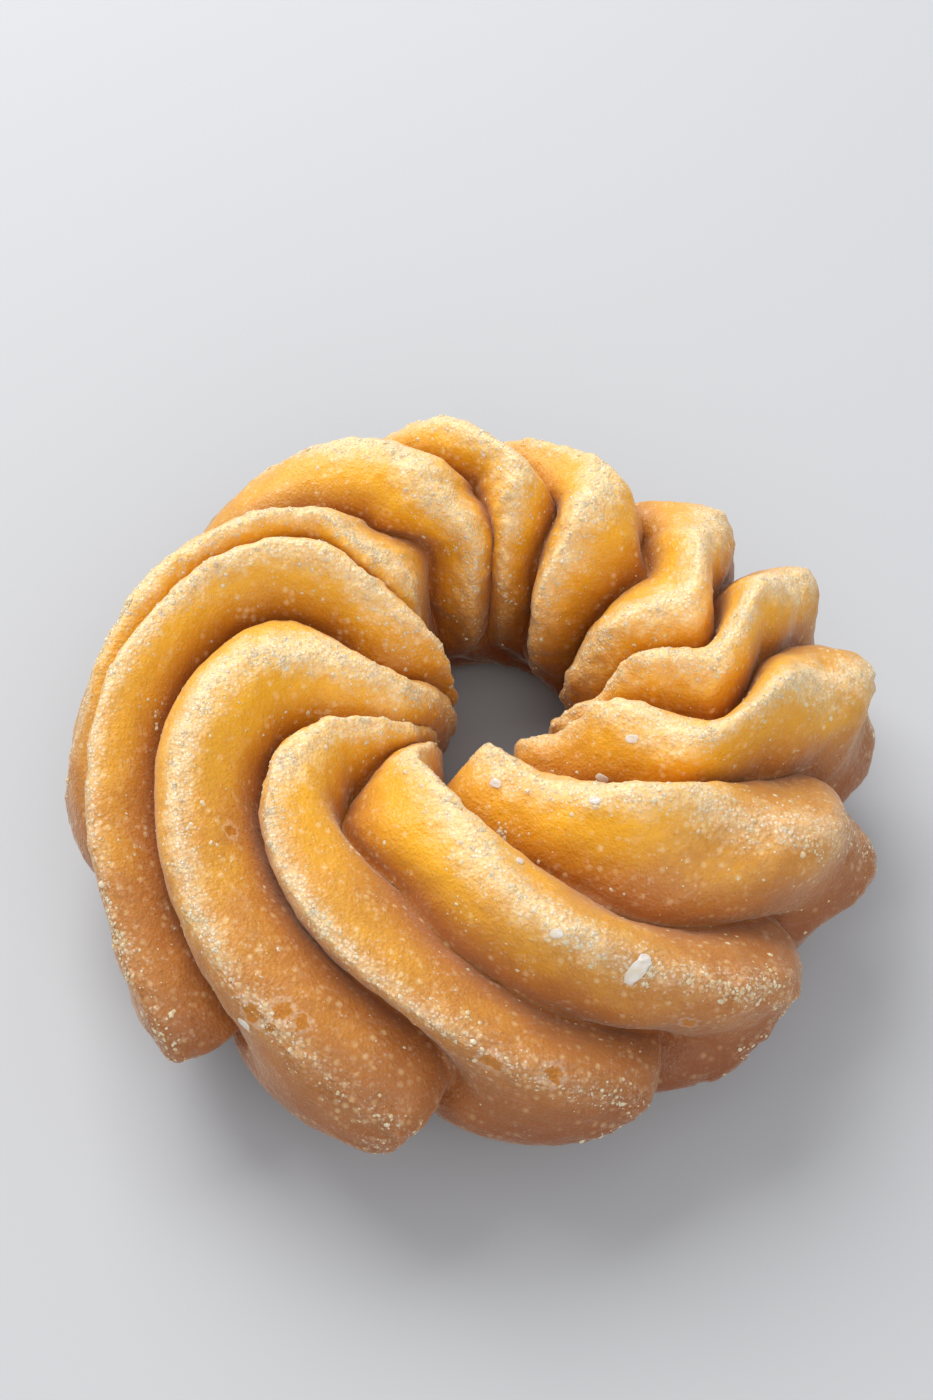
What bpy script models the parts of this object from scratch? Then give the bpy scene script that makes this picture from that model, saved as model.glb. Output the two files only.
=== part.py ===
"""Cruller doughnut: one fried ring of choux, piped with a star tip and twisted into twelve ridges."""

import math
from dataclasses import dataclass

import bmesh
import bpy

MM = 0.001

# The ring: how far the tips of the ridges reach from the middle of the hole.
OUTER_REACH = 44.0 * MM
OUTER_REACH_TO_BACK = -7.2 * MM
OUTER_REACH_TO_RIGHT = -0.6 * MM
OUTER_REACH_SKEW = -1.6 * MM
INNER_REACH = 8.8 * MM
INNER_REACH_SHIFT = 2.9 * MM
INNER_SHIFT_AZIMUTH = 38.0

# The tube's section.
WIDEST_AT = 0.45
SETTLED_BY = 0.5 * MM
FOOT_DEPTH_KEPT = 0.6
BASE_DEPTH_KEPT = 0.1
NARROW_RIDGE = 9.0 * MM
SHORTEST_LEVER = 3.0 * MM
SHOULDER_WIDTH = 30.0
TURN_IN_WIDTH = 38.0
INNER_CREASE_FROM = 84.0
INNER_CREASE_WIDTH = 20.0
CREST_ROUND = 0.14
LUMP_EVERY = 47.0

# The unevenness of the dough.
WANDER = 1.1
SWELL = 0.35 * MM

# How finely the skin is cut.
STEPS_PER_RIDGE = 8
SKIN_STEPS = 36
BASE_STEPS = 14
FIRST_ANGLE = -60.0
BASE_ANGLE = 205.0
TURN = 360.0
HALF_TURN_RIDGES = 6
WELD = 0.00001

COLLECTION_NAME = "cruller_doughnut"
NODE_NAME = "cruller"
DOUGH_COLOUR = (0.78, 0.42, 0.11, 1.0)


@dataclass(frozen=True)
class Ridge:
    """One piped ridge, in degrees and millimetres.

    crown is its azimuth on top of the tube. shoulder is a quick turn near the section angle shoulder_at,
    sweep_out a slow one on the way to the outer side, sweep_in one into the hole from the section angle
    turn_in on, and foot the last one under the outer side. inner_crease, crease and foot_crease are the share
    of the way to the next ridge at which the crease between them lies, in the hole, on the tube and at the
    foot, and leans_from is the section angle from which it leans to its foot. lump is the height of the humps
    along its crest, one of them at the section angle lump_at.
    """

    crown: float
    shoulder: float
    shoulder_at: float
    sweep_out: float
    sweep_in: float
    turn_in: float
    foot: float
    height: float
    out_by: float
    in_by: float
    depth: float
    fullness: float
    inner_crease: float
    crease: float
    foot_crease: float
    leans_from: float
    lump: float
    lump_at: float


# Clockwise from the front right, seen from above.
RIDGES = (
    Ridge(-60, 13, 98, 24, -19, 105, -6, 28.0, -0.5, 0.5, 8.0, 0.65, 0.62, 0.62, 0.66, 50, 1.1, 92),
    Ridge(-90, 0, 90, 41, -23, 98, -13, 28.5, -0.5, 2.0, 7.5, 0.60, 0.62, 0.34, 0.72, 85, 0.5, 70),
    Ridge(-140, 5, 70, 64, 16, 112, -8, 28.0, 0.5, 0.0, 7.5, 0.92, 0.24, 0.15, 0.82, 48, 0.3, 80),
    Ridge(-172, 0, 80, 76, 37, 112, -8, 29.5, 2.4, -3.5, 7.0, 0.90, 0.50, 0.50, 0.82, 42, 0.3, 90),
    Ridge(-208, 0, 80, 83, -22, 135, -4, 31.0, 3.6, -6.5, 7.0, 0.85, 0.52, 0.52, 0.57, 50, 0.3, 100),
    Ridge(-224, 5, 97, 58, -12, 112, 1, 31.0, -0.5, 0.0, 6.0, 0.80, 0.50, 0.50, 0.70, 50, 0.3, 95),
    Ridge(-257, 0, 90, 34, -17, 108, 0, 30.3, 0.0, 1.5, 6.5, 0.75, 0.50, 0.50, 0.70, 50, 0.2, 100),
    Ridge(-284, 8, 88, 25, -2, 140, 0, 31.0, 0.8, 3.0, 6.5, 0.75, 0.50, 0.50, 0.70, 50, 0.2, 110),
    Ridge(-309, 20, 54, 14, -2, 150, 0, 29.0, 1.0, -0.5, 7.0, 0.70, 0.50, 0.50, 0.73, 50, 0.4, 100),
    Ridge(-347, 12, 90, 19, 0, 130, 0, 28.5, 1.8, 0.0, 7.0, 0.70, 0.50, 0.50, 0.73, 50, 0.7, 85),
    Ridge(-369, 17, 89, 14, -13, 128, -3, 28.5, 3.2, 0.0, 6.8, 0.70, 0.50, 0.50, 0.77, 50, 1.0, 76),
    Ridge(-393, 14, 85, 20, -19, 134, -3, 29.5, 2.3, 0.0, 7.2, 0.70, 0.50, 0.50, 0.74, 50, 1.1, 80),
)


def ease(x):
    """A smooth rise from 0 to 1 as x goes from 0 to 1."""
    x = min(max(x, 0.0), 1.0)
    return x * x * (3.0 - 2.0 * x)


def between(size, place):
    """A size of the ridges at any place between two of them."""
    count = len(RIDGES)
    first = math.floor(place)
    t = place - first
    a, b, c, d = (getattr(RIDGES[k % count], size) for k in range(first - 1, first + 3))
    bend = (2 * a - 5 * b + 4 * c - d) * t * t + (3 * b - a - 3 * c + d) * t**3
    return 0.5 * (2 * b + (c - a) * t + bend)


def ridge_azimuth(index, angle):
    """The azimuth of a ridge's crest, on its upper side; past the last ridge they start again, a turn on."""
    ridge = RIDGES[index % len(RIDGES)]
    out = ridge.sweep_out * ease((108.0 - angle) / 108.0)
    shoulder = ridge.shoulder * ease((ridge.shoulder_at + SHOULDER_WIDTH / 2 - angle) / SHOULDER_WIDTH)
    turned = ridge.sweep_in * ease((angle - ridge.turn_in) / TURN_IN_WIDTH)
    foot = ridge.foot * ease((12.0 - angle) / 50.0)
    return ridge.crown - TURN * (index // len(RIDGES)) + out + shoulder + turned + foot


def shared_slope(one, other):
    """The slope where two steps meet: between them, and level where they turn back."""
    return 2 * one * other / (one + other) if one * other > 0 else 0.0


def own_azimuth(place, angle):
    """The azimuth of the line at this place of the round, never passing the line beside it."""
    first = math.floor(place)
    t = place - first
    before, start, end, after = (ridge_azimuth(k, angle) for k in range(first - 1, first + 3))
    leave = shared_slope(start - before, end - start)
    arrive = shared_slope(end - start, after - end)
    eased = t * t * (3 - 2 * t)
    return start + (end - start) * eased + leave * t * (1 - t) ** 2 - arrive * t * t * (1 - t)


def handed_over(angle):
    """How far the line has gone under the base to the ridge that it comes up as."""
    return ease((angle - 195.0) / 95.0)


def azimuth(place, angle):
    """The azimuth of the line all the way round the section."""
    share = handed_over(angle)
    here = own_azimuth(place, angle)
    return here * (1 - share) + own_azimuth(place + HALF_TURN_RIDGES, angle - TURN) * share


def own_crease(first, angle):
    """Where the crease lies between a ridge and the next, as a share of the way."""
    ridge = RIDGES[first % len(RIDGES)]
    low = ease(1 - angle / ridge.leans_from)
    inner = ease((angle - INNER_CREASE_FROM) / INNER_CREASE_WIDTH)
    share = ridge.crease * (1 - inner) + ridge.inner_crease * inner
    return share * (1 - low) + ridge.foot_crease * low


def place_of(line, angle):
    """The place of the round that a line of the skin runs through: the lines halfway follow the creases."""
    first = math.floor(line)
    t = line - first
    share = handed_over(angle)
    crease = own_crease(first, angle) * (1 - share)
    crease += own_crease(first + HALF_TURN_RIDGES, angle - TURN) * share
    return first + (2 * t * crease if t < 0.5 else crease + (2 * t - 1) * (1 - crease))


def size_at(size, place, angle):
    """A size of the ridges, handed over under the base with the line itself."""
    share = handed_over(angle)
    return between(size, place) * (1 - share) + between(size, place + HALF_TURN_RIDGES) * share


def in_by_at(place, angle):
    """How much a line stands back from the hole, in millimetres; low on the hole's wall none does."""
    leaving = 1 - ease((angle - 180.0) / 60.0)
    arriving = ease((angle - 240.0) / 50.0)
    return between("in_by", place) * leaving + between("in_by", place + HALF_TURN_RIDGES) * arriving


def outer_reach(turn):
    """How far the ridge tips reach out at this azimuth, in radians."""
    return (
        OUTER_REACH
        + OUTER_REACH_TO_BACK * math.sin(turn)
        + OUTER_REACH_TO_RIGHT * math.cos(turn)
        + OUTER_REACH_SKEW * math.sin(2 * turn)
    )


def inner_reach(turn):
    """How near the ridge tips come to the middle of the hole at this azimuth, in radians."""
    return INNER_REACH + INNER_REACH_SHIFT * math.cos(turn - math.radians(INNER_SHIFT_AZIMUTH))


def fall(across, fullness):
    """How far the skin has fallen from crest to crease, 0 to 1: a full rope or a thin fold."""
    rope = (1 - math.sqrt(1 - (0.97 * across) ** 2)) / (1 - math.sqrt(1 - 0.97**2))
    fold = (math.hypot(across, CREST_ROUND) - CREST_ROUND) / (math.hypot(1, CREST_ROUND) - CREST_ROUND)
    return fullness * rope + (1 - fullness) * fold


def hump(line, angle, across):
    """How much a crest rises or dips on its way, in millimetres; the creases don't."""
    ridge = RIDGES[round(line) % len(RIDGES)]
    wave = math.cos(2 * math.pi * (angle - ridge.lump_at) / LUMP_EVERY)
    shown = ease((angle + 50) / 40) * ease((200 - angle) / 40)
    return ridge.lump * wave * (1 - across**2) ** 2 * shown


def depth_kept(level, rise):
    """How much of their depth the creases keep: less at the feet, and little on the base."""
    foot = 1 - (1 - FOOT_DEPTH_KEPT) * ease((-rise - 0.3) / 0.7)
    base = 1 - (1 - BASE_DEPTH_KEPT) * ease((-rise + 0.05) / 0.5)
    outer_side = ease((level + 0.15) / 0.6)
    return foot * outer_side + base * (1 - outer_side)


def skin_point(line, angle):
    """The point of the skin on a line, counted in ridges, at an angle of the section."""
    share = math.radians(angle)
    level, rise = math.cos(share), math.sin(share)
    across = 2.0 * abs(line - round(line))
    place = place_of(line, angle)
    turn = math.radians(azimuth(place, angle))
    turn += math.radians(WANDER) * math.sin(5 * turn + 2 * share)
    gap = math.radians(abs(azimuth(place + 0.5, angle) - azimuth(place - 0.5, angle)))
    out = outer_reach(turn) + size_at("out_by", place, angle) * MM
    inside = inner_reach(turn) + in_by_at(place, angle) * MM
    height = size_at("height", place, angle) * MM
    height += SWELL * math.sin(7 * turn + share)
    middle, half = (out + inside) / 2, (out - inside) / 2
    waist = WIDEST_AT * height
    tall = height - waist if rise > 0 else waist
    depth = size_at("depth", place, angle) * MM * fall(across, size_at("fullness", place, angle))
    depth *= depth_kept(level, rise)
    depth *= min(1.0, gap * max(middle + half * level, SHORTEST_LEVER) / NARROW_RIDGE)
    depth -= hump(line, angle, across) * MM
    face_out, face_up = level / half, rise / tall
    length = math.hypot(face_out, face_up)
    reach = middle + half * level - depth * face_out / length
    z = waist + tall * rise - depth * face_up / length - SETTLED_BY
    return reach * math.cos(turn), reach * math.sin(turn), max(z, 0.0)


def section_angle(step):
    """The section angle of a row of the skin: even over the seen side, wider under the base."""
    if step <= SKIN_STEPS:
        return FIRST_ANGLE + (BASE_ANGLE - FIRST_ANGLE) * step / SKIN_STEPS
    rest = (step - SKIN_STEPS) / BASE_STEPS
    return BASE_ANGLE + (FIRST_ANGLE + TURN - BASE_ANGLE) * rest


def clear_scene():
    """Empty the file."""
    for old in list(bpy.data.objects):
        bpy.data.objects.remove(old, do_unlink=True)
    for old in list(bpy.data.collections):
        bpy.data.collections.remove(old)


def dough_material():
    """The fried dough's plain material."""
    dough = bpy.data.materials.new("dough")
    dough.use_nodes = True
    shader = dough.node_tree.nodes["Principled BSDF"]
    shader.inputs["Base Color"].default_value = DOUGH_COLOUR
    shader.inputs["Roughness"].default_value = 0.45
    dough.diffuse_color = DOUGH_COLOUR
    return dough


def cruller_mesh():
    """The ring's skin: a grid wrapped round the ring and the tube, and welded to itself."""
    columns = len(RIDGES) * STEPS_PER_RIDGE
    rows = SKIN_STEPS + BASE_STEPS
    skin = bmesh.new()
    bmesh.ops.create_grid(skin, x_segments=columns, y_segments=rows, size=0.5)
    for vert in skin.verts:
        column = round((vert.co.x + 0.5) * columns)
        row = round((vert.co.y + 0.5) * rows)
        vert.co = skin_point(column / STEPS_PER_RIDGE, section_angle(row))
    bmesh.ops.remove_doubles(skin, verts=skin.verts, dist=WELD)
    across = [v.co.x for v in skin.verts]
    along = [v.co.y for v in skin.verts]
    low = min(v.co.z for v in skin.verts)
    middle = ((min(across) + max(across)) / 2, (min(along) + max(along)) / 2, low)
    for vert in skin.verts:
        vert.co.x -= middle[0]
        vert.co.y -= middle[1]
        vert.co.z -= middle[2]
    bmesh.ops.recalc_face_normals(skin, faces=skin.faces)
    mesh = bpy.data.meshes.new(NODE_NAME)
    skin.to_mesh(mesh)
    skin.free()
    return mesh


def main():
    """Build the doughnut in its own collection."""
    clear_scene()
    home = bpy.data.collections.new(COLLECTION_NAME)
    bpy.context.scene.collection.children.link(home)
    cruller = bpy.data.objects.new(NODE_NAME, cruller_mesh())
    cruller.data.materials.append(dough_material())
    for face in cruller.data.polygons:
        face.use_smooth = True
    home.objects.link(cruller)


main()
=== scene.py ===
"""A glazed cruller doughnut: the twisted ring of fried dough, its frosted sugar glaze and the sugar on it.

Lengths are in metres, and the sizes of the dough are written in millimetres times MM.
"""

import logging
import math
from dataclasses import dataclass
from enum import Enum

import bpy
import numpy as np
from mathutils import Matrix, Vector, noise


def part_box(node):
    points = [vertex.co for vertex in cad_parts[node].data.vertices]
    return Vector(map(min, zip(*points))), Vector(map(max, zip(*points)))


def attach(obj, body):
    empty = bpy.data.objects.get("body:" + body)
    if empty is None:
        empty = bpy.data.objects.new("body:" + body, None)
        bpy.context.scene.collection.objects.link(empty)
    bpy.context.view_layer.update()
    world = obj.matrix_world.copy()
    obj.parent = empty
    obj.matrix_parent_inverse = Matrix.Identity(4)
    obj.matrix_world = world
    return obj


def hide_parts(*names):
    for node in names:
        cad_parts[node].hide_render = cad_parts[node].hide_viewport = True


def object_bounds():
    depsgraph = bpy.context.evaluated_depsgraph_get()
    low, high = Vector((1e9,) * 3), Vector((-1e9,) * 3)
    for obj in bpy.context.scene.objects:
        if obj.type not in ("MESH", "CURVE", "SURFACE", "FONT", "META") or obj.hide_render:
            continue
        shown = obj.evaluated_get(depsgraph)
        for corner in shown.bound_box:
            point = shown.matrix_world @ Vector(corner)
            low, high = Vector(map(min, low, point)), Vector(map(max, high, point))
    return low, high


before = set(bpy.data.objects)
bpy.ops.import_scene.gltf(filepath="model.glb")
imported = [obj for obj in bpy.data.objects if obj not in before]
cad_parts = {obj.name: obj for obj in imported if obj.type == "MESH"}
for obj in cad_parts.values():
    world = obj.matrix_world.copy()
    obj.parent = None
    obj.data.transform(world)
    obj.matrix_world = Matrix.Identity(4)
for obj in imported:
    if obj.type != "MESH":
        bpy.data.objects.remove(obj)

LOG = logging.getLogger("cruller")
MM = 0.001
TURN = 360.0
NODE = "cruller"
BODY = "root"
CAD_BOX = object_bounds()
# How far the floor lies below the base, and the lowest grain above it.
CLEARANCE = 0.02 * MM
# Further off than any spot, in radii.
FAR_OFF = 9.0

Array = np.ndarray
Object = bpy.types.Object
Mesh = bpy.types.Mesh
Material = bpy.types.Material
Node = bpy.types.Node
Socket = bpy.types.NodeSocket
Colour = tuple[float, float, float, float]
Source = Socket | float | Vector | tuple[float, ...]
Rounds = tuple[tuple[Vector, float], ...]


class Slot(Enum):
    """Names of the material slots."""

    DOUGH = "fried_dough"
    GLAZE = "sugar_glaze"


class Part(Enum):
    """The measures that the skin carries for its colours, each from 0 to 1."""

    CREST = "crest"
    CREASE = "crease"
    HEIGHT = "height"
    HOLE = "hole"
    FRONT = "front"
    OUTER = "outer"
    PIT = "pit"
    SUGARED = "sugared"
    # How far a face points up; the glaze's colours add a painted highlight there.
    UPWARD = "upward"


def ease(x: Array) -> Array:
    """A smooth rise from 0 to 1 as x goes from 0 to 1."""
    x = np.clip(x, 0.0, 1.0)
    return x * x * (3.0 - 2.0 * x)


@dataclass(frozen=True)
class Ridge:
    """One piped ridge, in degrees and millimetres.

    crown is its azimuth on top of the tube. shoulder is a quick turn near the section angle shoulder_at,
    sweep_out a slow one on the way to the outer side, sweep_in one into the hole from the section angle
    turn_in on, and foot the last one under the outer side. out_by is how far it reaches past the rim and
    in_by how far it stands back from the hole, depth is that of its creases, and fullness is 1 for a rope
    and 0 for a thin fold. inner_crease, crease and foot_crease are the share of the way to the next ridge at
    which the crease lies, in the hole, on the tube and at the foot, and leans_from is the section angle from
    which it leans to its foot. lump is the height of the humps along its crest, one of them at lump_at.
    """

    crown: float
    shoulder: float
    shoulder_at: float
    sweep_out: float
    sweep_in: float
    turn_in: float
    foot: float
    height: float
    out_by: float
    in_by: float
    depth: float
    fullness: float
    inner_crease: float
    crease: float
    foot_crease: float
    leans_from: float
    lump: float
    lump_at: float


# Clockwise from the front right, seen from above.
RIDGES = (
    Ridge(-60, 13, 98, 24, -19, 105, -6, 28.0, -0.5, 0.5, 8.0, 0.65, 0.62, 0.62, 0.66, 50, 1.1, 92),
    Ridge(-90, 0, 90, 41, -23, 98, -13, 28.5, -0.5, 2.0, 7.5, 0.60, 0.62, 0.34, 0.72, 85, 0.5, 70),
    Ridge(-140, 5, 70, 64, 16, 112, -8, 28.0, 0.5, 0.0, 7.5, 0.92, 0.24, 0.15, 0.82, 48, 0.3, 80),
    Ridge(-172, 0, 80, 76, 37, 112, -8, 29.5, 2.4, -3.5, 7.0, 0.90, 0.50, 0.50, 0.82, 42, 0.3, 90),
    Ridge(-208, 0, 80, 83, -22, 135, -4, 31.0, 3.6, -6.5, 7.0, 0.85, 0.52, 0.52, 0.57, 50, 0.3, 100),
    Ridge(-224, 5, 97, 58, -12, 112, 1, 31.0, -0.5, 0.0, 6.0, 0.80, 0.50, 0.50, 0.70, 50, 0.3, 95),
    Ridge(-257, 0, 90, 34, -17, 108, 0, 30.3, 0.0, 1.5, 6.5, 0.75, 0.50, 0.50, 0.70, 50, 0.2, 100),
    Ridge(-284, 8, 88, 25, -2, 140, 0, 31.0, 0.8, 3.0, 6.5, 0.75, 0.50, 0.50, 0.70, 50, 0.2, 110),
    Ridge(-309, 20, 54, 14, -2, 150, 0, 29.0, 1.0, -0.5, 7.0, 0.70, 0.50, 0.50, 0.73, 50, 0.4, 100),
    Ridge(-347, 12, 90, 19, 0, 130, 0, 28.5, 1.8, 0.0, 7.0, 0.70, 0.50, 0.50, 0.73, 50, 0.7, 85),
    Ridge(-369, 17, 89, 14, -13, 128, -3, 28.5, 3.2, 0.0, 6.8, 0.70, 0.50, 0.50, 0.77, 50, 1.0, 76),
    Ridge(-393, 14, 85, 20, -19, 134, -3, 29.5, 2.3, 0.0, 7.2, 0.70, 0.50, 0.50, 0.74, 50, 1.1, 80),
)


@dataclass(frozen=True)
class Twist:
    """The form of the twisted ring: from a place of the round and an angle of the section to its skin."""

    ridges: tuple[Ridge, ...] = RIDGES
    outer_reach: float = 44.0
    outer_reach_to_back: float = -7.2
    outer_reach_to_right: float = -0.6
    outer_reach_skew: float = -1.6
    inner_reach: float = 8.8
    inner_reach_shift: float = 2.9
    inner_shift_azimuth: float = 38.0
    widest_at: float = 0.45
    settled_by: float = 0.5
    foot_depth_kept: float = 0.6
    base_depth_kept: float = 0.1
    narrow_ridge: float = 9.0
    shortest_lever: float = 3.0
    wander: float = 1.1
    swell: float = 0.35
    half_turn: int = 6
    shoulder_width: float = 30.0
    turn_in_width: float = 38.0
    crest_round: float = 0.14
    lump_every: float = 47.0
    inner_crease_from: float = 84.0
    inner_crease_width: float = 20.0
    sweep_from: float = 108.0
    foot_from: float = 12.0
    foot_width: float = 50.0
    under_from: float = 195.0
    under_width: float = 95.0
    humps_from: float = -50.0
    humps_to: float = 200.0
    humps_fade: float = 40.0
    rope_edge: float = 0.97

    def own(self, size: str, index: Array) -> Array:
        """A size of the ridges with these numbers; past the last ridge they start again."""
        return np.array([getattr(ridge, size) for ridge in self.ridges], float)[index % len(self.ridges)]

    def between(self, size: str, place: Array) -> Array:
        """A size of the ridges at any place between two of them.

        Args:
            size: The name of the ridge's size.
            place: The place of the round, in ridges.

        Returns:
            The size there, on a smooth curve through the ridges' own sizes.
        """
        first = np.floor(place).astype(int)
        t = place - first
        a, b, c, d = (self.own(size, first + k) for k in (-1, 0, 1, 2))
        bend = (2 * a - 5 * b + 4 * c - d) * t**2 + (3 * b - a - 3 * c + d) * t**3
        return 0.5 * (2 * b + (c - a) * t + bend)

    def ridge_azimuth(self, index: Array, angle: Array) -> Array:
        """The azimuth of a ridge's crest, on its own upper side.

        Args:
            index: The ridge's number; past the last ridge they start again, a turn on.
            angle: The section angle in degrees, 0 outwards and 90 up.

        Returns:
            The azimuth in degrees.
        """
        out = self.own("sweep_out", index) * ease((self.sweep_from - angle) / self.sweep_from)
        past = self.own("shoulder_at", index) + self.shoulder_width / 2 - angle
        shoulder = self.own("shoulder", index) * ease(past / self.shoulder_width)
        inward = (angle - self.own("turn_in", index)) / self.turn_in_width
        turned = self.own("sweep_in", index) * ease(inward)
        foot = self.own("foot", index) * ease((self.foot_from - angle) / self.foot_width)
        return self.own("crown", index) - TURN * (index // len(self.ridges)) + out + shoulder + turned + foot

    @staticmethod
    def shared_slope(one: Array, other: Array) -> Array:
        """The slope where two steps meet: between them, and level where they turn back."""
        both = one + other
        safe = np.where(one * other > 0, both, 1.0)
        return np.where(one * other > 0, 2 * one * other / safe, 0.0)

    def own_azimuth(self, place: Array, angle: Array) -> Array:
        """The azimuth of the line at this place of the round, never passing the line beside it."""
        first = np.floor(place).astype(int)
        t = place - first
        before, start, end, after = (self.ridge_azimuth(first + k, angle) for k in (-1, 0, 1, 2))
        leave = self.shared_slope(start - before, end - start)
        arrive = self.shared_slope(end - start, after - end)
        return start + (end - start) * ease(t) + leave * t * (1 - t) ** 2 - arrive * t * t * (1 - t)

    def hand_over(self, own: Array, there: Array, angle: Array) -> Array:
        """A measure of the line, changed under the base from its own ridge's to that of the one it joins."""
        share = ease((angle - self.under_from) / self.under_width)
        return own * (1 - share) + there * share

    def azimuth(self, place: Array, angle: Array) -> Array:
        """The azimuth of the line all the way round the section, in degrees."""
        there = self.own_azimuth(place + self.half_turn, angle - TURN)
        return self.hand_over(self.own_azimuth(place, angle), there, angle)

    def size_at(self, size: str, place: Array, angle: Array) -> Array:
        """A size of the ridges, handed over under the base with the line itself."""
        return self.hand_over(self.between(size, place), self.between(size, place + self.half_turn), angle)

    def in_by_at(self, place: Array, angle: Array) -> Array:
        """How much a line stands back from the hole; low on the hole's wall none does."""
        leaving = 1 - ease((angle - 180.0) / 60.0)
        arriving = ease((angle - 240.0) / 50.0)
        there = self.between("in_by", place + self.half_turn)
        return self.between("in_by", place) * leaving + there * arriving

    def outer_at(self, turn: Array) -> Array:
        """How far the ridge tips reach out at this azimuth, in radians."""
        leaning = self.outer_reach_to_back * np.sin(turn) + self.outer_reach_to_right * np.cos(turn)
        return self.outer_reach + leaning + self.outer_reach_skew * np.sin(2 * turn)

    def inner_at(self, turn: Array) -> Array:
        """How near the ridge tips come to the middle of the hole at this azimuth, in radians."""
        toward = math.radians(self.inner_shift_azimuth)
        return self.inner_reach + self.inner_reach_shift * np.cos(turn - toward)

    def own_crease(self, first: Array, angle: Array) -> Array:
        """Where the crease lies between a ridge and the next, as a share of the way."""
        low = ease(1 - angle / self.own("leans_from", first))
        inner = ease((angle - self.inner_crease_from) / self.inner_crease_width)
        share = self.own("crease", first) * (1 - inner) + self.own("inner_crease", first) * inner
        return share * (1 - low) + self.own("foot_crease", first) * low

    @staticmethod
    def across(line: Array) -> Array:
        """How far a line is from its crest: 0 on the crest and 1 in the crease."""
        return 2 * np.abs(line - np.round(line))

    def place_of(self, line: Array, angle: Array) -> Array:
        """The place of the round that a line of the skin runs through; lines halfway follow the creases."""
        first = np.floor(line).astype(int)
        t = line - first
        there = self.own_crease(first + self.half_turn, angle - TURN)
        crease = self.hand_over(self.own_crease(first, angle), there, angle)
        return first + np.where(t < 0.5, 2 * t * crease, crease + (2 * t - 1) * (1 - crease))

    def fall(self, across: Array, fullness: Array) -> Array:
        """How far the skin has fallen from crest to crease, 0 to 1: a full rope or a thin fold."""
        edge = self.rope_edge
        rope = (1 - np.sqrt(1 - (edge * across) ** 2)) / (1 - math.sqrt(1 - edge**2))
        round_by = self.crest_round
        fold = (np.hypot(across, round_by) - round_by) / (math.hypot(1, round_by) - round_by)
        return fullness * rope + (1 - fullness) * fold

    def humps(self, line: Array, angle: Array, across: Array) -> Array:
        """How much the crests rise and dip along their way; the creases don't."""
        nearest = np.round(line).astype(int)
        wave = np.cos(2 * np.pi * (angle - self.own("lump_at", nearest)) / self.lump_every)
        rising = ease((angle - self.humps_from) / self.humps_fade)
        shown = rising * ease((self.humps_to - angle) / self.humps_fade)
        return self.own("lump", nearest) * wave * (1 - across**2) ** 2 * shown

    def depth_kept(self, level: Array, rise: Array) -> Array:
        """How much of their depth the creases keep: less at the feet, and little on the base."""
        foot = 1 - (1 - self.foot_depth_kept) * ease((-rise - 0.3) / 0.7)
        base = 1 - (1 - self.base_depth_kept) * ease((-rise + 0.05) / 0.5)
        outer_side = ease((level + 0.15) / 0.6)
        return foot * outer_side + base * (1 - outer_side)

    def skin(self, line: Array, angle: Array) -> Array:
        """The points of the skin.

        Args:
            line: Lines of the skin, counted in ridges.
            angle: Angles of the section in degrees, of the same shape.

        Returns:
            The points in metres, with the coordinates along the last axis.
        """
        share = np.radians(angle)
        level, rise = np.cos(share), np.sin(share)
        across, place = self.across(line), self.place_of(line, angle)
        turn = np.radians(self.azimuth(place, angle))
        turn = turn + math.radians(self.wander) * np.sin(5 * turn + 2 * share)
        gap = np.radians(np.abs(self.azimuth(place + 0.5, angle) - self.azimuth(place - 0.5, angle)))
        out = self.outer_at(turn) + self.size_at("out_by", place, angle)
        inside = self.inner_at(turn) + self.in_by_at(place, angle)
        height = self.size_at("height", place, angle) + self.swell * np.sin(7 * turn + share)
        middle, half = (out + inside) / 2, (out - inside) / 2
        waist = self.widest_at * height
        tall = np.where(rise > 0, height - waist, waist)
        fall = self.fall(across, self.size_at("fullness", place, angle))
        depth = self.size_at("depth", place, angle) * fall * self.depth_kept(level, rise)
        lever = np.maximum(middle + half * level, self.shortest_lever)
        depth = depth * np.minimum(1.0, gap * lever / self.narrow_ridge)
        depth = depth - self.humps(line, angle, across)
        face_out, face_up = level / half, rise / tall
        length = np.hypot(face_out, face_up)
        reach = middle + half * level - depth * face_out / length
        z = waist + tall * rise - depth * face_up / length - self.settled_by
        return np.stack([reach * np.cos(turn), reach * np.sin(turn), np.maximum(z, 0.0)], -1) * MM


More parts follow.
